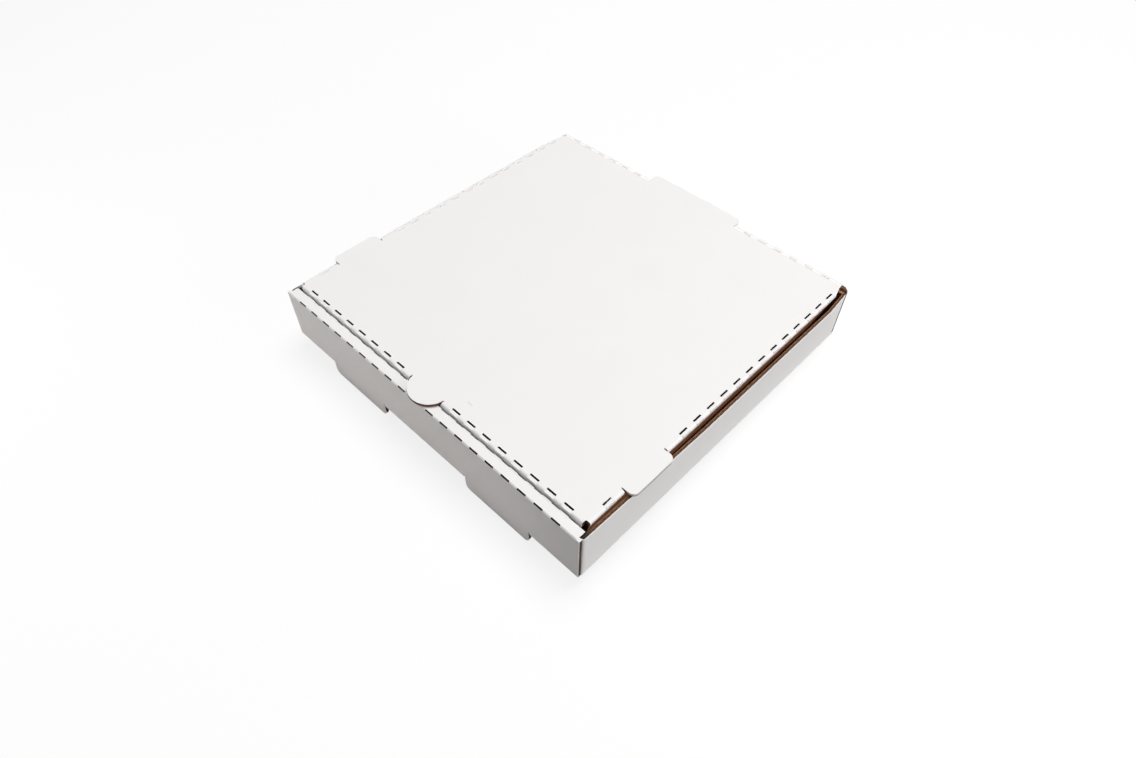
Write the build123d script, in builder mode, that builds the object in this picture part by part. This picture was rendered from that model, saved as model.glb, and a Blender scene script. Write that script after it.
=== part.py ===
from build123d import *
import os
from math import cos, radians, sin

# Ten inch pizza box, folded from one sheet of corrugated board and shown closed.
# X runs across the box, +Y to the hinge at the back, +Z up. The origin is under the
# middle of the whole outline, tabs included, at the height of the feet's lower edges.

# Board
board = 2.2  # thickness of the board
layer_room = 0.3  # air each side of a flap that lies between two walls
overrun = 1.0  # how far a cutting shape runs past what it cuts

# Perforated creases
pitch = 12.7  # from one cut to the next
cut_length = 6.35
cut_width = 0.9
cut_margin = 11.0  # least length from a corner to the middle of a cut
corner_cut_share = 1.6  # depth of a cut across a corner, in thicknesses of the board
lid_bend = 1.6  # radius of a lid crease between its cuts
tray_bend = 0.7  # width that a tray crease is crushed flat between its cuts
ledge_bend = 1.4  # radius of the ledge's inner crease between its cuts
upright_bend = 1.8  # radius of the uprights where the corner flaps turn in

# Lid
lid_width = 252.6  # between its side creases
lid_depth = 248.0  # from its front crease to the hinge
inside_height = 37.6  # from the base up to the lid
corner_room = 0.4  # a flap stops this far from the lid's front corner
rear_room = 11.5  # a side flap stops this far from the hinge
flap_depth = 33.0  # of the lid's front and side flaps
flap_taper = 7.0  # how much shorter a flap is at its free edge, each end
flap_corner = 5.0  # radius of the flaps' free corners
front_lean = 4.0  # degrees that the front flap leans into the box
side_lean = 16.0  # degrees that the side flaps lean into it
tab_corner = 4.0  # radius of the corners of the tabs and feet
tab_room = 0.9  # gap between a tab and the flap beside it
thumb_radius = 14.0
thumb_setback = 2.1  # centre of the thumb tab behind the front crease
side_tab_width = 34.6
side_tab_reach = 8.4  # from the crease to the tab's free edge
side_tab_place = 45.2  # from the front crease to the middle of the tab
back_tab_width = 78.0
back_tab_reach = 8.4  # from the hinge to the tab's free edge
notch_room = 0.5  # gap between a tab and the notch that it was cut from

# Tray
side_room = 0.85  # between a side wall and the lid's side flap
front_room = 0.65  # between the front wall and the lid's front flap
hinge_room = 0.3  # between the lid's back edge and the back wall
ledge_drop = 0.5  # the ledge lies this far under the lid
side_drop = 1.6  # the side walls stop this far under the lid
end_room = 0.6  # the front and back walls stop this far inside the side walls' faces
inner_room = 0.4  # between the ledge's ends and the side walls
side_bow = 1.9  # how far the top of a side wall bows out between its corners
bow_foot_room = 2.0  # height over the base at which the bow starts
bow_front_length = 100.0  # from the front corner to the full bow
bow_back_length = 22.0  # from the full bow to the back corner
back_corner = 4.0  # radius of the back wall's upper corners
foot_width = 54.0
foot_spacing = 132.0  # between the middles of the two feet
lock_room = 2.8  # behind a lock tab in its slot
lock_side_room = 2.0  # beside a lock tab in its slot
corner_flap_length = 55.0
corner_flap_taper = 6.0
corner_flap_round = 2.0
flap_foot_room = 0.6  # under and over a corner flap

# Heights
ledge_width = 3 * board + 2 * layer_room
slot_depth = ledge_width + lock_room
base_bottom = slot_depth
base_top = base_bottom + board
lid_bottom = base_top + inside_height
lid_top = lid_bottom + board
hinge_z = lid_bottom + board / 2
ledge_top = lid_bottom - ledge_drop
side_top = lid_bottom - side_drop
flap_foot = base_top + flap_foot_room
bow_foot = base_top + bow_foot_room

# Places across and along the box
thumb_reach = thumb_radius - thumb_setback
hinge_y = (lid_depth + thumb_reach - back_tab_reach) / 2
lid_front = hinge_y - lid_depth
lid_back = hinge_y - board / 2 - hinge_room
lid_middle = hinge_y - lid_depth / 2
lid_side = lid_width / 2
flap_side = lid_side + cut_width / 2 + board
front_fold = lid_front - cut_width / 2 - board
side_opening = side_tab_width + 2 * tab_room
side_tab_y = lid_front + side_tab_place
flap_front = lid_front + corner_room
flap_back = hinge_y - rear_room
flap_middle = (flap_front + flap_back) / 2
tray_side = flap_side + side_room + board
front_face = front_fold - front_room - ledge_width
back_face = hinge_y + board / 2
ledge_edge = front_face + ledge_width
side_wall_front = front_face + board + layer_room
side_wall_back = back_face - board - layer_room
side_wall_length = side_wall_back - side_wall_front
side_wall_middle = (side_wall_front + side_wall_back) / 2
wall_half = tray_side - end_room
ledge_half = tray_side - board - inner_room


# A plane that looks to the front, at the given place along Y, with its y axis upwards.
def front_plane(y):
    return Plane.XZ.offset(-y)


# A plane that looks along a fold, with its origin on the square outer corner and its
# axes into the two panels that meet there.
def fold_plane(corner, into_first, into_second):
    return Plane(origin=corner, x_dir=into_first, z_dir=Vector(into_first).cross(Vector(into_second)))


# The middles of the cuts along a crease, measured from its middle, with none at its tab.
def cut_places(length, tab_width, tab_middle):
    count = int((length - 2 * cut_margin) / pitch) + 1
    places = [(i - (count - 1) / 2) * pitch for i in range(count)]
    tab_reach = tab_width / 2 + cut_length if tab_width else 0
    return [place for place in places if abs(place - tab_middle) >= tab_reach]


# The stretches that a crease keeps between its cuts.
def crease_spans(length, tab_width=0, tab_middle=0):
    ends = [-length / 2]
    for place in cut_places(length, tab_width, tab_middle):
        ends += [place - cut_length / 2, place + cut_length / 2]
    ends.append(length / 2)
    return zip(ends[0::2], ends[1::2])


# What a square fold loses to its bend, round or crushed flat, over the given spans.
def bend_waste(plane, spans, radius, flat=False):
    with BuildPart() as waste:
        for start, end in spans:
            with BuildSketch(plane.offset(start)):
                with BuildLine():
                    Line((0, radius), (-overrun, radius))
                    Polyline((-overrun, radius), (-overrun, -overrun), (radius, -overrun))
                    Line((radius, -overrun), (radius, 0))
                    if flat:
                        Line((radius, 0), (0, radius))
                    else:
                        RadiusArc((radius, 0), (0, radius), radius)
                make_face()
            extrude(amount=end - start)
    return waste.part


# The row of cuts along a crease. The plane lies on the board, with its x along the crease.
def crease_cuts(plane, length, depth, tab_width=0, tab_middle=0):
    with BuildPart() as cuts:
        with BuildSketch(plane.offset(overrun)):
            with Locations(*[(place, 0) for place in cut_places(length, tab_width, tab_middle)]):
                Rectangle(cut_length, cut_width)
        extrude(amount=-depth - overrun)
    return cuts.part


# The outline of a flap that hangs from y = 0, shorter at its free edge.
def flap_outline(length, depth):
    half = length / 2
    tip = half - flap_taper
    with BuildSketch() as outline:
        with BuildLine():
            FilletPolyline((half, 0), (tip, -depth), (-tip, -depth), (-half, 0), radius=flap_corner)
            Line((-half, 0), (half, 0))
        make_face()
    return outline.sketch


# The outline of a tab that stands out from y = 0 to y = reach.
def tab_outline(width, reach, corner):
    half = width / 2
    with BuildSketch() as outline:
        with BuildLine():
            FilletPolyline((half, 0), (half, reach), (-half, reach), (-half, 0), radius=corner)
            Line((-half, 0), (half, 0))
        make_face()
    return outline.sketch


# The outline of a corner flap, from the side wall's face to its tapered end.
def corner_flap_outline(foot, head):
    tip = tray_side - corner_flap_length
    shoulder = tip + corner_flap_taper
    with BuildSketch() as outline:
        with BuildLine():
            FilletPolyline(
                (tray_side, foot),
                (shoulder, foot),
                (tip, foot + corner_flap_taper),
                (tip, head - corner_flap_taper),
                (shoulder, head),
                (tray_side, head),
                radius=corner_flap_round,
            )
            Line((tray_side, head), (tray_side, foot))
        make_face()
    return outline.sketch


# Upper part of the right side wall, filled in behind its face: flat to the corners and
# leaning out between them
with BuildPart() as bow:
    with BuildSketch(Plane.YZ.offset(tray_side - board)):
        with Locations((side_wall_middle, (bow_foot + side_top) / 2)):
            Rectangle(side_wall_length, side_top - bow_foot)
    extrude(amount=board + side_bow)
    for at, outwards in (
        ((tray_side, 0, bow_foot), (side_top - bow_foot, 0, -side_bow)),
        ((tray_side, side_wall_front, 0), (bow_front_length, -side_bow, 0)),
        ((tray_side, side_wall_back, 0), (bow_back_length, side_bow, 0)),
    ):
        split(bisect_by=Plane(origin=at, z_dir=outwards), keep=Keep.BOTTOM)
bowed_side = bow.part

# Tray: base, double front wall, side walls with corner flaps, back wall and feet
with BuildPart() as tray:
    # Base
    with BuildSketch(Plane.XY.offset(base_bottom)):
        with Locations((0, (front_face + back_face) / 2)):
            Rectangle(2 * wall_half, back_face - front_face)
        with Locations((0, side_wall_middle)):
            Rectangle(2 * tray_side, side_wall_length)
    extrude(amount=board)

    # Side wall and its two corner flaps, made on the right and mirrored
    with BuildSketch(Plane.YZ.offset(tray_side)):
        with Locations((side_wall_middle, (base_bottom + bow_foot) / 2)):
            Rectangle(side_wall_length, bow_foot - base_bottom)
    extrude(amount=-board)
    add(bowed_side)
    add(bowed_side.moved(Location((-board, 0, 0))), mode=Mode.SUBTRACT)
    with BuildSketch(front_plane(side_wall_front)):
        add(corner_flap_outline(flap_foot, ledge_top - board - flap_foot_room))
    extrude(amount=-board)
    with BuildSketch(front_plane(side_wall_back)):
        add(corner_flap_outline(flap_foot, side_top))
    extrude(amount=board)
    upright = side_top - base_top
    for corner_y, inwards in ((side_wall_front, 1), (side_wall_back, -1)):
        corner = (tray_side, corner_y, (base_top + side_top) / 2)
        fold = fold_plane(corner, (-1, 0, 0), (0, inwards, 0))
        spans = [(-upright / 2 - overrun, upright / 2 + overrun)]
        add(bend_waste(fold, spans, upright_bend), mode=Mode.SUBTRACT)
    corner = (tray_side, side_wall_middle, base_bottom)
    fold = fold_plane(corner, (-1, 0, 0), (0, 0, 1))
    add(bend_waste(fold, crease_spans(side_wall_length), tray_bend, flat=True), mode=Mode.SUBTRACT)
    across = Plane(origin=corner, x_dir=(0, 1, 0), z_dir=(1, 0, -1))
    add(crease_cuts(across, side_wall_length, corner_cut_share * board), mode=Mode.SUBTRACT)
    split(bisect_by=Plane.YZ)
    mirror(about=Plane.YZ)

    # Front wall: outer wall, ledge and inner wall, folded over the corner flaps
    with BuildSketch(front_plane(front_face)):
        with Locations((0, (base_bottom + ledge_top) / 2)):
            Rectangle(2 * wall_half, ledge_top - base_bottom)
    extrude(amount=-board)
    with BuildSketch(Plane.XY.offset(ledge_top)):
        with Locations((0, front_face + ledge_width / 2)):
            Rectangle(2 * ledge_half, ledge_width)
    extrude(amount=-board)
    with BuildSketch(front_plane(ledge_edge)):
        with Locations((0, (flap_foot + ledge_top) / 2)):
            Rectangle(2 * ledge_half, ledge_top - flap_foot)
    extrude(amount=board)

    # Back wall, up to the hinge and square there until its bend is taken off
    with BuildSketch(Plane(origin=(0, back_face, base_bottom), x_dir=(1, 0, 0), z_dir=(0, -1, 0))):
        add(tab_outline(2 * wall_half, hinge_z - base_bottom, back_corner))
        with Locations((0, (lid_top - base_bottom) / 2)):
            Rectangle(lid_width, lid_top - base_bottom)
    extrude(amount=board)

    # Bends and cuts of the creases that run across the box
    for y, z, into_y, into_z, spans, radius, flat in (
        (front_face, base_bottom, 1, 1, crease_spans(2 * wall_half), tray_bend, True),
        (back_face, base_bottom, -1, 1, crease_spans(2 * wall_half), tray_bend, True),
        (front_face, ledge_top, 1, -1, crease_spans(2 * ledge_half), tray_bend, True),
        (ledge_edge, ledge_top, -1, -1, crease_spans(2 * ledge_half), ledge_bend, False),
        (back_face, lid_top, -1, -1, crease_spans(lid_width, back_tab_width), board / 2, False),
        (back_face - board, lid_top, 1, -1, crease_spans(lid_width, back_tab_width), board / 2, False),
    ):
        fold = fold_plane((0, y, z), (0, into_y, 0), (0, 0, into_z))
        add(bend_waste(fold, spans, radius, flat), mode=Mode.SUBTRACT)
    for corner, outwards, length in (
        ((0, front_face, base_bottom), (0, -1, -1), 2 * wall_half),
        ((0, back_face, base_bottom), (0, 1, -1), 2 * wall_half),
        ((0, front_face, ledge_top), (0, -1, 1), 2 * ledge_half),
    ):
        across = Plane(origin=corner, x_dir=(1, 0, 0), z_dir=outwards)
        add(crease_cuts(across, length, corner_cut_share * board), mode=Mode.SUBTRACT)
    inside_ledge = Plane(
        origin=(0, ledge_edge, ledge_top - board - cut_width / 2), x_dir=(1, 0, 0), z_dir=(0, 1, 0)
    )
    add(crease_cuts(inside_ledge, 2 * ledge_half, board + cut_width), mode=Mode.SUBTRACT)

    # Notch that the back tab was cut from
    with BuildSketch(Plane(origin=(0, back_face, lid_top), x_dir=(1, 0, 0), z_dir=(0, 1, 0))):
        notch_depth = back_tab_reach + board / 2 + notch_room
        add(tab_outline(back_tab_width + 2 * notch_room, notch_depth, tab_corner))
    extrude(amount=-board, mode=Mode.SUBTRACT)

    # Slots in the base, the feet that were cut from them and the lock tabs that fill them
    for foot_x in (-foot_spacing / 2, foot_spacing / 2):
        with BuildSketch(Plane.XY.offset(base_bottom)):
            with Locations((foot_x, front_face + slot_depth / 2)):
                Rectangle(foot_width + 2 * tab_room, slot_depth)
        extrude(amount=board, mode=Mode.SUBTRACT)
        with BuildSketch(Plane(origin=(foot_x, front_face, base_top), x_dir=(-1, 0, 0), z_dir=(0, -1, 0))):
            add(tab_outline(foot_width, base_top, tab_corner))
        extrude(amount=-board)
        with BuildSketch(Plane(origin=(foot_x, ledge_edge, flap_foot), x_dir=(1, 0, 0), z_dir=(0, 1, 0))):
            add(tab_outline(foot_width - 2 * lock_side_room, flap_foot - base_bottom, board))
        extrude(amount=-board)

# Lid: top panel, side and front flaps, thumb tab, side tabs and back tab
with BuildPart() as lid:
    # Top panel, side flap and side tab, made on the right and mirrored
    with BuildSketch(Plane.XY.offset(lid_top)):
        with Locations((0, (lid_front + lid_back) / 2)):
            Rectangle(lid_width, lid_back - lid_front)
        with BuildLine():
            Polyline((0, flap_front), (flap_side, flap_front), (flap_side, flap_back))
            Polyline((flap_side, flap_back), (lid_side, lid_back), (0, lid_back), (0, flap_front))
        make_face()
    extrude(amount=-board)
    lean = radians(side_lean)
    normal = (cos(lean), 0, -sin(lean))
    with BuildSketch(Plane(origin=(flap_side, flap_middle, lid_bottom), x_dir=(0, 1, 0), z_dir=normal)):
        add(flap_outline(flap_back - flap_front, flap_depth - board))
    extrude(amount=-board)
    fold = fold_plane((flap_side, lid_middle, lid_top), (0, 0, -1), (-1, 0, 0))
    spans = crease_spans(lid_depth, side_opening, side_tab_y - lid_middle)
    add(bend_waste(fold, spans, lid_bend), mode=Mode.SUBTRACT)
    crease = Plane(origin=(lid_side, lid_middle, lid_top), x_dir=(0, 1, 0), z_dir=(0, 0, 1))
    cuts = crease_cuts(crease, lid_depth, board, side_opening, side_tab_y - lid_middle)
    add(cuts, mode=Mode.SUBTRACT)
    with BuildSketch(Plane(origin=(flap_side, side_tab_y, lid_bottom), x_dir=(0, -1, 0), z_dir=normal)):
        add(tab_outline(side_opening, side_tab_reach + notch_room - board, tab_corner))
    extrude(amount=-board, mode=Mode.SUBTRACT)
    with BuildSketch(Plane.XY.offset(lid_top)):
        with Locations(((lid_side + flap_side) / 2, side_tab_y)):
            Rectangle(flap_side - lid_side, side_opening)
    extrude(amount=-board, mode=Mode.SUBTRACT)
    with BuildSketch(Plane(origin=(lid_side, side_tab_y, lid_top), x_dir=(0, -1, 0), z_dir=(0, 0, 1))):
        add(tab_outline(side_tab_width, side_tab_reach, tab_corner))
    extrude(amount=-board)
    split(bisect_by=Plane.YZ)
    mirror(about=Plane.YZ)

    # Front flap, which leans into the box, open where the thumb tab was cut out of it
    front_flap_width = lid_width - 2 * corner_room
    with BuildSketch(Plane.XY.offset(lid_top)):
        with Locations((0, front_fold + board)):
            Rectangle(front_flap_width, 2 * board)
    extrude(amount=-board)
    lean = radians(front_lean)
    normal = (0, -cos(lean), -sin(lean))
    with BuildSketch(Plane(origin=(0, front_fold, lid_bottom), x_dir=(1, 0, 0), z_dir=normal)):
        add(flap_outline(front_flap_width, flap_depth - board))
    extrude(amount=-board)
    fold = fold_plane((0, front_fold, lid_top), (0, 1, 0), (0, 0, -1))
    add(bend_waste(fold, crease_spans(lid_width, 2 * thumb_radius), lid_bend), mode=Mode.SUBTRACT)
    crease = Plane(origin=(0, lid_front, lid_top), x_dir=(1, 0, 0), z_dir=(0, 0, 1))
    add(crease_cuts(crease, lid_width, board, 2 * thumb_radius), mode=Mode.SUBTRACT)
    with BuildSketch(Plane(origin=(0, front_fold, lid_bottom), x_dir=(1, 0, 0), z_dir=normal)):
        with Locations((0, board + thumb_setback)):
            Circle(thumb_radius + notch_room)
    extrude(amount=-board, mode=Mode.SUBTRACT)
    with BuildSketch(Plane.XY.offset(lid_top)):
        with Locations((0, (front_fold + lid_front) / 2)):
            Rectangle(2 * (thumb_radius + notch_room), lid_front - front_fold)
    extrude(amount=-board, mode=Mode.SUBTRACT)
    with BuildSketch(Plane.XY.offset(lid_top)):
        with Locations((0, lid_front + thumb_setback)):
            Circle(thumb_radius)
    extrude(amount=-board)

    # Back edge, trimmed at the cuts of the hinge crease, and the back tab
    crease = Plane(origin=(0, lid_back - cut_width / 2, lid_top), x_dir=(1, 0, 0), z_dir=(0, 0, 1))
    add(crease_cuts(crease, lid_width, board + cut_width, back_tab_width), mode=Mode.SUBTRACT)
    with BuildSketch(Plane(origin=(0, lid_back, lid_top), x_dir=(1, 0, 0), z_dir=(0, 0, 1))):
        add(tab_outline(back_tab_width, hinge_y + back_tab_reach - lid_back, tab_corner))
    extrude(amount=-board)

os.makedirs("parts", exist_ok=True)
tray.part.label = "tray"
lid.part.label = "lid"
export_step(tray.part, "parts/tray.step")
export_step(lid.part, "parts/lid.step")
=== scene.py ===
import bmesh
import bpy
from math import cos, pi, radians, sin
from mathutils import Matrix, Vector

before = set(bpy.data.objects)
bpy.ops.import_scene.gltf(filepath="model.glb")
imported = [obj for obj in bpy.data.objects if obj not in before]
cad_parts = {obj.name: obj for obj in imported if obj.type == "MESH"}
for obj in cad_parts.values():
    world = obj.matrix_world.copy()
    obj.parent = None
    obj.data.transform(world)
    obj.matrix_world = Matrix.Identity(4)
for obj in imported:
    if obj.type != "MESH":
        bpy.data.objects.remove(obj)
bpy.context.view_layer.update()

print("model loaded:", sorted(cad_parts))

camera = {
    "focal": 776.2,  # in the photograph's pixels
    "turn": 43.31,  # degrees round to the right of the front
    "rise": 49.57,
    "roll": 0.81,
    "target": (0.0409, -0.0466, 0.030),
    "distance": 0.4870,
    "photoWidth": 1136,
    "sensor": 36.0,
    "clipStart": 0.01,
}


def placeCamera(spec):
    turn, rise, roll = (radians(spec[key]) for key in ("turn", "rise", "roll"))
    back = Vector((sin(turn) * cos(rise), -cos(turn) * cos(rise), sin(rise)))
    level = (-back).cross(Vector((0, 0, 1))).normalized()
    upright = level.cross(-back)
    right = cos(roll) * level + sin(roll) * upright
    up = cos(roll) * upright - sin(roll) * level
    data = bpy.data.cameras.new("camera")
    data.sensor_width = spec["sensor"]
    data.lens = spec["focal"] / spec["photoWidth"] * spec["sensor"]
    data.clip_start = spec["clipStart"]
    seat = bpy.data.objects.new("camera", data)
    axes = Matrix((right, up, back)).transposed().to_4x4()
    seat.matrix_world = Matrix.Translation(Vector(spec["target"]) + back * spec["distance"]) @ axes
    bpy.context.scene.collection.objects.link(seat)
    bpy.context.scene.camera = seat


placeCamera(camera)
print("camera placed")


class Reading:
    # an output that carries one number and takes part in plain sums
    def __init__(self, graph, socket):
        self.graph = graph
        self.socket = socket

    def maths(self, operation, *others):
        inputs = dict(enumerate((self, *others)))
        return self.graph.number("ShaderNodeMath", {"operation": operation}, inputs)

    def least(self, *others):
        result = self
        for other in others:
            result = result.maths("MINIMUM", other)
        return result

    def most(self, other):
        return self.maths("MAXIMUM", other)

    # this reading where the share is 0, the other where it is 1
    def swapped(self, share, other):
        return self.graph.number("ShaderNodeMix", {"data_type": "FLOAT"}, {0: share, 2: self, 3: other})

    # 0 below the middle and 1 above it, with a soft change as wide as the room each side
    def above(self, middle, room):
        inputs = {"Value": self, "From Min": middle - room, "From Max": middle + room}
        return self.graph.number("ShaderNodeMapRange", {"interpolation_type": "SMOOTHSTEP"}, inputs)

    # the first number where this reading is 0, the second where it is 1
    def between(self, first, second):
        return self * (second - first) + first

    # the first number below the middle, the second above it
    def fade(self, first, second, middle, room):
        return self.above(middle, room).between(first, second)

    # 1 between the two numbers, 0 elsewhere
    def within(self, first, last):
        return (self > first) * (self < last)

    def __add__(self, other):
        return self.maths("ADD", other)

    def __sub__(self, other):
        return self.maths("SUBTRACT", other)

    def __rsub__(self, other):
        return self * -1 + other

    def __mul__(self, other):
        return self.maths("MULTIPLY", other)

    def __lt__(self, other):
        return self.maths("LESS_THAN", other)

    def __gt__(self, other):
        return self.maths("GREATER_THAN", other)

    def __abs__(self):
        return self.maths("ABSOLUTE")

    __radd__ = __add__
    __rmul__ = __mul__


class Graph:
    # the nodes of one material or world
    def __init__(self, owner, ending):
        owner.use_nodes = True
        self.owner = owner
        self.tree = owner.node_tree
        self.tree.nodes.clear()
        self.ending = self.make(ending)

    def make(self, kind, settings={}, inputs={}):
        made = self.tree.nodes.new(kind)
        for key, value in settings.items():
            setattr(made, key, value)
        for key, value in inputs.items():
            self.feed(made.inputs[key], value)
        return made

    def feed(self, socket, value):
        if isinstance(value, Reading):
            value = value.socket
        if isinstance(value, bpy.types.NodeSocket):
            self.tree.links.new(value, socket)
        else:
            socket.default_value = value

    def number(self, kind, settings={}, inputs={}, output=0):
        return Reading(self, self.make(kind, settings, inputs).outputs[output])

    def colour(self, share, under, over):
        inputs = {0: share, 6: under, 7: over}
        return self.make("ShaderNodeMix", {"data_type": "RGBA", "clamp_factor": True}, inputs).outputs[2]

    # object coordinates in millimetres
    def place(self):
        at = self.make("ShaderNodeTexCoord").outputs["Object"]
        scaled = self.make("ShaderNodeVectorMath", {"operation": "SCALE"}, {0: at, "Scale": 1000.0})
        parts = self.make("ShaderNodeSeparateXYZ", {}, {0: scaled.outputs[0]})
        return scaled.outputs[0], [Reading(self, parts.outputs[axis]) for axis in range(3)]

    # noise about 0, in cells of the given size in millimetres
    def noise(self, at, size, detail=2.0, stretch=(1, 1, 1)):
        scale = [part / size for part in stretch]
        spread = self.make("ShaderNodeMapping", {}, {"Vector": at, "Scale": scale})
        inputs = {"Vector": spread.outputs[0], "Scale": 1.0, "Detail": detail}
        return self.number("ShaderNodeTexNoise", {}, inputs) - 0.5

    # rays that show a thing itself, straight or through a reflection
    def seen(self):
        path = self.make("ShaderNodeLightPath")
        names = ("Is Camera Ray", "Is Glossy Ray", "Is Transmission Ray")
        straight, glossy, through = (Reading(self, path.outputs[name]) for name in names)
        return straight.most(glossy).most(through)

    # principled shader with its gloss and relief, sent to the surface
    def surface(self, spec, colour, roughness, relief=None):
        shader = self.make("ShaderNodeBsdfPrincipled", {}, {"Base Color": colour, "Roughness": roughness})
        self.feed(shader.inputs["Specular IOR Level"], spec["gloss"])
        if relief is not None:
            inputs = {"Height": relief, "Strength": 1.0, "Distance": spec["relief"]}
            bump = self.make("ShaderNodeBump", {}, inputs)
            self.feed(shader.inputs["Normal"], bump.outputs[0])
        self.feed(self.ending.inputs["Surface"], shader.outputs[0])
        return shader


# corrugated board: white paper outside, kraft paper inside and a kraft wave between them, in millimetres
board = {
    "thickness": 2.2,
    "whitePaper": 0.34,
    "kraftPaper": 0.32,
    "raw": 0.4,  # depth from which a face counts as raw board
    "far": 9.0,  # stands for a face that a point doesn't have
    "slack": 0.02,
    "wavePitch": 5.6,
    "waveHeight": 0.62,
    "waveHalf": 0.3,
    "waveRoom": 0.12,
    "waver": 1.6,
    "waverSize": 9.0,
    "fray": 0.16,
    "frayRoom": 0.05,
    "fibreSize": 0.55,
    "fibreDetail": 3.0,
    "grainSize": 1.0,
    "grainDetail": 4.0,
    "grainStretch": (0.25, 1, 1),
    "grainRoom": 0.2,
    "cloudSize": 38.0,
    "white": (0.900, 0.888, 0.880, 1),
    "whiteShade": (0.872, 0.860, 0.852, 1),
    "kraft": (0.36, 0.185, 0.098, 1),
    "kraftShade": (0.27, 0.130, 0.065, 1),
    "wave": (0.175, 0.080, 0.037, 1),
    # painted shade inside the flute openings of a raw edge
    "fluteHollowShade": (0.050, 0.022, 0.009, 1),
    # painted shade for the cuts, their rims, the front fold and the tray's front corners; it also tints a
    # real scuff
    "cut": (0.060, 0.034, 0.023, 1),
    # black, for painted black shade and for no glow
    "dark": (0, 0, 0, 1),
    # painted glow, no lamp: brown light in the gaps beside the lid's side flaps
    "gapGlow": (0.070, 0.031, 0.015, 1),  # what kraft paper throws back in a narrow gap
    # painted glow, no lamp: white light in the left cuts and under the hinge
    "paperGlow": (0.46, 0.454, 0.45, 1),  # what white paper throws back in a narrow cut
    "cutPitch": 12.7,
    "cutHalfLength": 3.3,
    "roughWhite": 0.62,
    "roughKraft": 0.85,
    "rippleWhite": 0.04,
    "rippleKraft": 0.17,
    "fibreRelief": 0.35,
    "waveRelief": 1.2,
    "gloss": 0.35,
    "relief": 0.00008,
}


# depth under a skin whose edges are rounded
def roundDepth(radius, *depths):
    shorts = [(radius - depth).most(0.0) for depth in depths]
    return radius - sum(short * short for short in shorts).maths("SQRT")


# 1 along each cut of a crease, 0 between the cuts
def alongCuts(run):
    return run.maths("PINGPONG", board["cutPitch"] / 2) < board["cutHalfLength"]


# a fade holds its two shares, its middle and its room
tray = {
    "front": -132.75,
    "back": 126.85,
    "side": 132.0,
    "bottom": 10.0,
    "ledge": 49.3,
    "ledgeEdge": -125.55,
    "ledgeBend": 1.4,
    "crush": 0.7,
    "sideFront": -130.25,
    "sideBack": 124.35,
    "upright": 1.8,
    "uprightFront": -130.45,
    "uprightFrom": 129.5,
    "backBend": 1.1,
    "hinge": 52.0,
    "hingeFrom": 124.25,
    "hingeHalf": 126.35,
    "bow": 1.9,
    "bowFoot": 14.2,
    "bowTop": 48.2,
    "bowFrontLength": 100.0,
    "bowBackLength": 22.0,
    "wallsBack": -125.49,  # of the double front wall
    "wallsHalf": 131.7,
    "standingFront": -127.75,
    "standingBack": 124.55,
    "cutRim": 0.80,
    "cutDepth": 0.15,
    "cutReach": 118.0,
    "cutFade": (0.6, 1.0, 10.0, 60.0),
    "cornerFront": -131.2,
    "cornerSides": (129.1, 131.65),
    "cornerHeights": (38.0, 49.0),
    "cornerFade": (1.0, 0.0, -122.5, 5.0),
    "cornerCutBack": -118.0,
    "cornerDeep": (0.75, 0.0, -126.0, 4.0),
    "endFrom": 131.35,
    "endBack": -130.15,
    "endCut": (0.95, 0.50, 30.0, 14.0),
    "endDeep": (0.93, 0.33, 24.0, 8.0),
    "crownPaintedWhite": 2.0,
    "leftWall": -128.0,
    "leftTop": 47.9,
    "litDepths": (0.2, 2.4),
    "litBack": 125.85,
}
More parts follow.
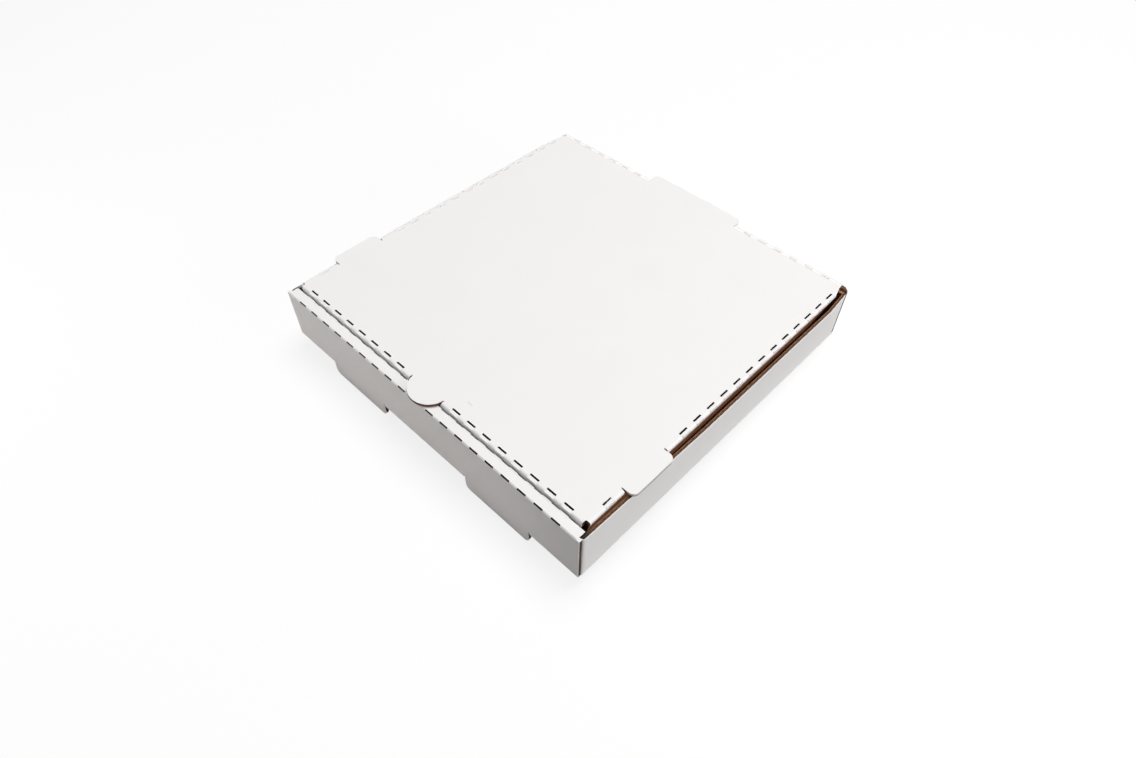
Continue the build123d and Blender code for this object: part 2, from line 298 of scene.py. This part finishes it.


# depth under the white face, depth across the board and place along its wave, then the shares of the
# painted dark-brown shade, of painted black shade and of the painted white glow
def trayDepths(x, y, z):
    width = abs(x)
    climb = (z - tray["bowFoot"]) * (tray["bow"] / (tray["bowTop"] - tray["bowFoot"]))
    frontRun = (y - tray["sideFront"]) * (tray["bow"] / tray["bowFrontLength"])
    backRun = (tray["sideBack"] - y) * (tray["bow"] / tray["bowBackLength"])
    side = climb.least(frontRun, backRun).most(0.0) + tray["side"] - width
    bottom = (z - tray["bottom"]).swapped(z < tray["bottom"] - board["slack"], board["far"])
    outer = y - tray["front"]
    ledge = tray["ledge"] - z
    inner = tray["ledgeEdge"] - y
    back = tray["back"] - y
    atHinge = (y > tray["hingeFrom"]) * (width < tray["hingeHalf"])
    crown = (tray["hinge"] - z).swapped(1 - atHinge, board["far"])
    offUpright = 1 - (y > tray["uprightFront"]) * (width > tray["uprightFrom"])
    atFront = (y < tray["wallsBack"]) * (width < tray["wallsHalf"]) * offUpright
    frontSkin = roundDepth(tray["crush"], outer, ledge, bottom)
    frontSkin = frontSkin.least(roundDepth(tray["ledgeBend"], ledge, inner))
    upright = roundDepth(tray["upright"], y - tray["sideFront"], side)
    sideSkin = upright.least(roundDepth(tray["backBend"], back, crown), bottom, side)
    skin = sideSkin.swapped(atFront, frontSkin)
    across = side.least(back, bottom, crown).swapped(atFront, outer.least(ledge, inner, bottom))
    standing = (y < tray["standingFront"]).most(y > tray["standingBack"])

    # cuts of the front crease, and their rims, in painted shade that is stronger towards the right
    rim = outer.most(ledge) < tray["cutRim"]
    inside = (outer.least(ledge) > tray["cutDepth"]) * (outer.most(ledge) < board["thickness"])
    cut = rim.most(inside) * alongCuts(x) * (width < tray["cutReach"]) * x.fade(*tray["cutFade"])

    # painted shade: the raw layers are painted darker in the hollow of each front corner and down the front
    # wall's ends
    raw = skin > board["raw"]
    corner = raw.most((y > tray["cornerFront"]) * offUpright) * width.within(*tray["cornerSides"])
    corner = corner * z.within(*tray["cornerHeights"]) * y.fade(*tray["cornerFade"])
    end = raw * (width > tray["endFrom"]) * (y < tray["endBack"])
    cut = cut.most(corner * (y < tray["cornerCutBack"])).most(end * z.fade(*tray["endCut"]))
    paintedBlackShade = (end * z.fade(*tray["endDeep"])).most(corner * y.fade(*tray["cornerDeep"]))

    # painted light: the hinge and the left wall's upper edge are painted as white paper, lighter than raw
    # board
    leftEdge = (x < tray["leftWall"]) * (z > tray["leftTop"])
    paintedLightWhite = (atHinge * (crown < tray["crownPaintedWhite"])).most(leftEdge)
    return {
        "skin": skin.swapped(paintedLightWhite, 0.0),
        "across": across,
        "along": y.swapped(standing, z),
        "cut": cut,
        "paintedBlackShade": paintedBlackShade,
        # painted white glow just under the hinge's top
        "lit": atHinge * crown.within(*tray["litDepths"]) * (y < tray["litBack"]),
    }


lid = {
    "top": 52.0,
    "bottom": 49.8,
    "side": 128.95,
    "front": -124.9,
    "sideLean": 16.0,
    "frontLean": 4.0,
    "bend": 1.6,
    "sideCrease": 126.3,
    "frontCrease": -122.25,
    "hingeFrom": 123.0,
    "tabMiddle": -77.05,
    "tabHalf": 17.35,
    "tabFrom": 126.25,
    "tabDrawn": 1.5,
    "tabRoom": 30.0,
    "thumbCentre": -120.15,
    "thumbRadius": 14.05,
    "thumbBack": -122.65,
    "cutTop": 0.06,
    "cutBottom": 0.03,
    "cutHalf": 0.47,
    "cutRim": 0.62,  # wider than the cut, as the photograph's dashes are
    "frontCuts": (20.0, 118.0),
    "sideCuts": (-110.0, 114.0),
    "sideCut": -106.2,
    "litShare": 0.42,
    "markMiddle": (26.5, -113.0),
    "markHalf": (2.1, 0.35),
    "markShare": 0.16,
    "foldFrom": 0.3,
    "foldTop": (0.0, 0.2, 1.1, 0.9),
    "foldFoot": (1.0, 0.0, 5.0, 1.0),
    "gapFrom": 121.3,
    "gapFade": (1.0, 0.0, 47.0, 0.8),
}


# as for the tray, with the share of the painted brown glow in the gap instead of the painted black shade
def lidDepths(x, y, z):
    width = abs(x)
    low = z - lid["bottom"]
    panel = low > -board["slack"]
    top = lid["top"] - z
    side = lid["side"] - width
    front = y - lid["front"]
    sideLean, frontLean = radians(lid["sideLean"]), radians(lid["frontLean"])
    side = (side * cos(sideLean) + low * sin(sideLean)).swapped(panel, side)
    front = (front * cos(frontLean) + low * sin(frontLean)).swapped(panel, front)
    onSideTab = (abs(y - lid["tabMiddle"]) < lid["tabHalf"]) * (width > lid["tabFrom"])
    ahead = y - lid["thumbCentre"]
    onThumb = ((x * x + ahead * ahead).maths("SQRT") < lid["thumbRadius"]) * (y < lid["thumbBack"])
    onTab = panel * onSideTab.most(onThumb)
    skin = roundDepth(lid["bend"], top, side, front).swapped(onTab, top)
    across = top.least(side, front).swapped(onTab, top)

    # the front and right cuts are raw on the panel's side, in painted shade, and white on the flap's; the
    # left ones are painted white with a painted glow, as painted light
    inCut = (top > lid["cutTop"]) * (low > lid["cutBottom"]) * (1 - onTab)
    aside, before = width - lid["sideCrease"], lid["frontCrease"] - y
    alongSide, alongFront = abs(aside) < lid["cutHalf"], abs(before) < lid["cutHalf"]
    frontFirst, frontLast = lid["frontCuts"]
    sideFirst, sideLast = lid["sideCuts"]
    onSideFlap = aside.within(0.0, lid["cutHalf"]) * (y > sideFirst)
    onFlap = inCut * onSideFlap.most(before.within(0.0, lid["cutHalf"]) * (width < frontLast))
    leftCut = inCut * alongSide * (x < 0.0)
    rawCut = inCut * alongSide.most(alongFront) * (1 - onFlap) * (1 - leftCut)

    # painted shade: dark rims around the cuts
    frontRim = (abs(before) < lid["cutRim"]) * alongCuts(x) * width.within(frontFirst, frontLast)
    sideRun = y.within(sideFirst, sideLast) * (abs(y - lid["tabMiddle"]) > lid["tabRoom"]) * (x > 0.0)
    sideRim = (abs(aside) < lid["cutRim"]) * alongCuts(y - lid["sideCut"]) * sideRun

    # a scuff beside the thumb tab, and the shade of the front fold
    (markX, markY), (halfX, halfY) = lid["markMiddle"], lid["markHalf"]
    mark = (abs(x - markX) < halfX) * (abs(y - markY) < halfY) * panel * lid["markShare"]
    fold = (before > lid["foldFrom"]) * (1 - onTab) * top.fade(*lid["foldTop"]) * top.fade(*lid["foldFoot"])

    # painted light: the panel's edge at the hinge is painted as white paper
    atHinge = (y > lid["hingeFrom"]) * panel
    tabEdge = onSideTab * panel * (top < lid["tabDrawn"])
    return {
        "skin": skin.swapped(onFlap.most(atHinge).most(tabEdge).most(leftCut), 0.0),
        "across": across,
        "along": y,
        "cut": rawCut.most(frontRim.most(sideRim) * panel).most(mark).most(fold),
        # painted brown glow on the side flaps' white faces in the gap
        "gap": (1 - panel) * (width > lid["gapFrom"]) * z.fade(*lid["gapFade"]),
        # painted white glow in the left cuts
        "lit": leftCut * lid["litShare"],
    }


def boardFinish(name, depthsOf):
    graph = Graph(bpy.data.materials.new(name), "ShaderNodeOutputMaterial")
    at, (x, y, z) = graph.place()
    depths = depthsOf(x, y, z)
    skin, across = depths["skin"], depths["across"]
    cloud = graph.noise(at, board["cloudSize"])
    fibre = graph.noise(at, board["fibreSize"], board["fibreDetail"])
    grain = graph.noise(at, board["grainSize"], board["grainDetail"], board["grainStretch"])

    # what a raw edge shows, from the white paper through the wave to the kraft paper
    fray = fibre * board["fray"]
    onWhite = (skin + fray).fade(1.0, 0.0, board["whitePaper"], board["frayRoom"])
    onKraft = (across + fray).above(board["thickness"] - board["kraftPaper"], board["frayRoom"])
    turn = 2 * pi / board["wavePitch"]
    phase = depths["along"] * turn + graph.noise(at, board["waverSize"]) * board["waver"]
    offWave = abs(across - board["thickness"] / 2 - phase.maths("SINE") * board["waveHeight"])
    onWave = offWave.fade(1.0, 0.0, board["waveHalf"], board["waveRoom"])
    # painted shade in the flute hollows between the crests of the wave
    edge = graph.colour(onWave, board["fluteHollowShade"], board["wave"])
    kraft = graph.colour(grain.above(0.0, board["grainRoom"]), board["kraft"], board["kraftShade"])
    white = graph.colour(cloud + 0.5, board["white"], board["whiteShade"])
    colour = graph.colour(onWhite, graph.colour(onKraft, edge, kraft), white)
    # painted shade in dark brown, which also tints the lid's scuff, then painted black shade
    colour = graph.colour(depths["cut"], colour, board["cut"])
    if "paintedBlackShade" in depths:
        colour = graph.colour(depths["paintedBlackShade"], colour, board["dark"])

    # the papers sink a little between the crests of the wave
    ripple = ((y + z) * turn).maths("SINE") * onWhite.between(board["rippleKraft"], board["rippleWhite"])
    relief = ripple + fibre * board["fibreRelief"] + (1 - onWhite) * onWave * board["waveRelief"]
    roughness = onWhite.between(board["roughKraft"], board["roughWhite"])
    shader = graph.surface(board, colour, roughness, relief)
    # painted glow, though the board is no lamp: brown in the lid's side gaps, white in the left cuts and at
    # the hinge
    glow = board["dark"]
    if "gap" in depths:
        glow = graph.colour(depths["gap"] * onWhite, glow, board["gapGlow"])
    graph.feed(shader.inputs["Emission Color"], graph.colour(depths["lit"], glow, board["paperGlow"]))
    graph.feed(shader.inputs["Emission Strength"], 1.0)
    return graph.owner


for node, depthsOf in (("tray", trayDepths), ("lid", lidDepths)):
    body = bpy.data.objects[node]
    finish = boardFinish(node + "Board", depthsOf)
    for place in body.material_slots:
        place.material = finish
    if not body.material_slots:
        body.data.materials.append(finish)
print("board finished")

studio = {
    "floor": (0.68, 0.644, 0.627, 1),  # as the box sees it
    # painted shade: the floor as the box sees it darkens towards the right, so less light bounces onto the
    # right front
    "floorPaintedShade": (0.06, 0.056, 0.055, 1),  # the same beside the box's right wall
    "rightMiddle": 130.0,
    "rightRoom": 80.0,
    "floorSeen": (1, 1, 1, 1),
    "floorWhite": 0.82,  # share of plain white that is seen in the floor
    "floorReach": 6.0,
    "roughness": 0.9,
    "gloss": 0.5,
    "tilt": 2.21,  # the box stands on its feet and its rear lower edge
    "feet": -0.13165,
    "ambient": 0.13,
    "white": (1, 1, 1, 1),
    "key": {"power": 32.8, "size": 1.2, "from": (0.11, 0.40, 2.00)},
    "side": {"power": 5.35, "size": 0.6, "from": (1.10, 0.15, 0.30)},
    "fill": {"power": 0.48, "size": 0.3, "from": (-0.42, -0.5, 0.22)},
}


def makeFloor(spec):
    build = bmesh.new()
    lean = Matrix.Translation((0, spec["feet"], 0)) @ Matrix.Rotation(radians(spec["tilt"]), 4, "X")
    bmesh.ops.create_grid(build, x_segments=1, y_segments=1, size=spec["floorReach"], matrix=lean)
    mesh = bpy.data.meshes.new("floor")
    build.to_mesh(mesh)
    build.free()
    floor = bpy.data.objects.new("floor", mesh)
    bpy.context.scene.collection.objects.link(floor)
    graph = Graph(bpy.data.materials.new("floorPaper"), "ShaderNodeOutputMaterial")
    seen = graph.seen()
    # painted shade in the floor's colour for bounced light, darker towards the right
    toRight = graph.place()[1][0].above(spec["rightMiddle"], spec["rightRoom"])
    asLit = graph.colour(toRight, spec["floor"], spec["floorPaintedShade"])
    paper = graph.surface(spec, graph.colour(seen, asLit, spec["floorSeen"]), spec["roughness"])
    glow = graph.make("ShaderNodeEmission", {}, {"Color": spec["white"], "Strength": 1.0})
    inputs = {0: seen * spec["floorWhite"], 1: paper.outputs[0], 2: glow.outputs[0]}
    graph.feed(graph.ending.inputs["Surface"], graph.make("ShaderNodeMixShader", {}, inputs).outputs[0])
    mesh.materials.append(graph.owner)


def makeLamp(name, spec):
    data = bpy.data.lights.new(name, "AREA")
    data.shape = "DISK"
    data.size = spec["size"]
    data.energy = spec["power"]
    lamp = bpy.data.objects.new(name, data)
    lamp.location = spec["from"]
    lamp.rotation_euler = Vector(spec["from"]).to_track_quat("Z", "Y").to_euler()
    bpy.context.scene.collection.objects.link(lamp)


def makeWorld(spec):
    world = bpy.data.worlds.new("studio")
    bpy.context.scene.world = world
    graph = Graph(world, "ShaderNodeOutputWorld")
    light, plain = (
        graph.make("ShaderNodeBackground", {}, {"Color": spec["white"], "Strength": strength})
        for strength in (spec["ambient"], 1.0)
    )
    inputs = {0: graph.seen(), 1: light.outputs[0], 2: plain.outputs[0]}
    graph.feed(graph.ending.inputs["Surface"], graph.make("ShaderNodeMixShader", {}, inputs).outputs[0])


makeFloor(studio)
for name in ("key", "side", "fill"):
    makeLamp(name, studio[name])
makeWorld(studio)
bpy.context.scene.view_settings.view_transform = "Standard"
print("studio built")
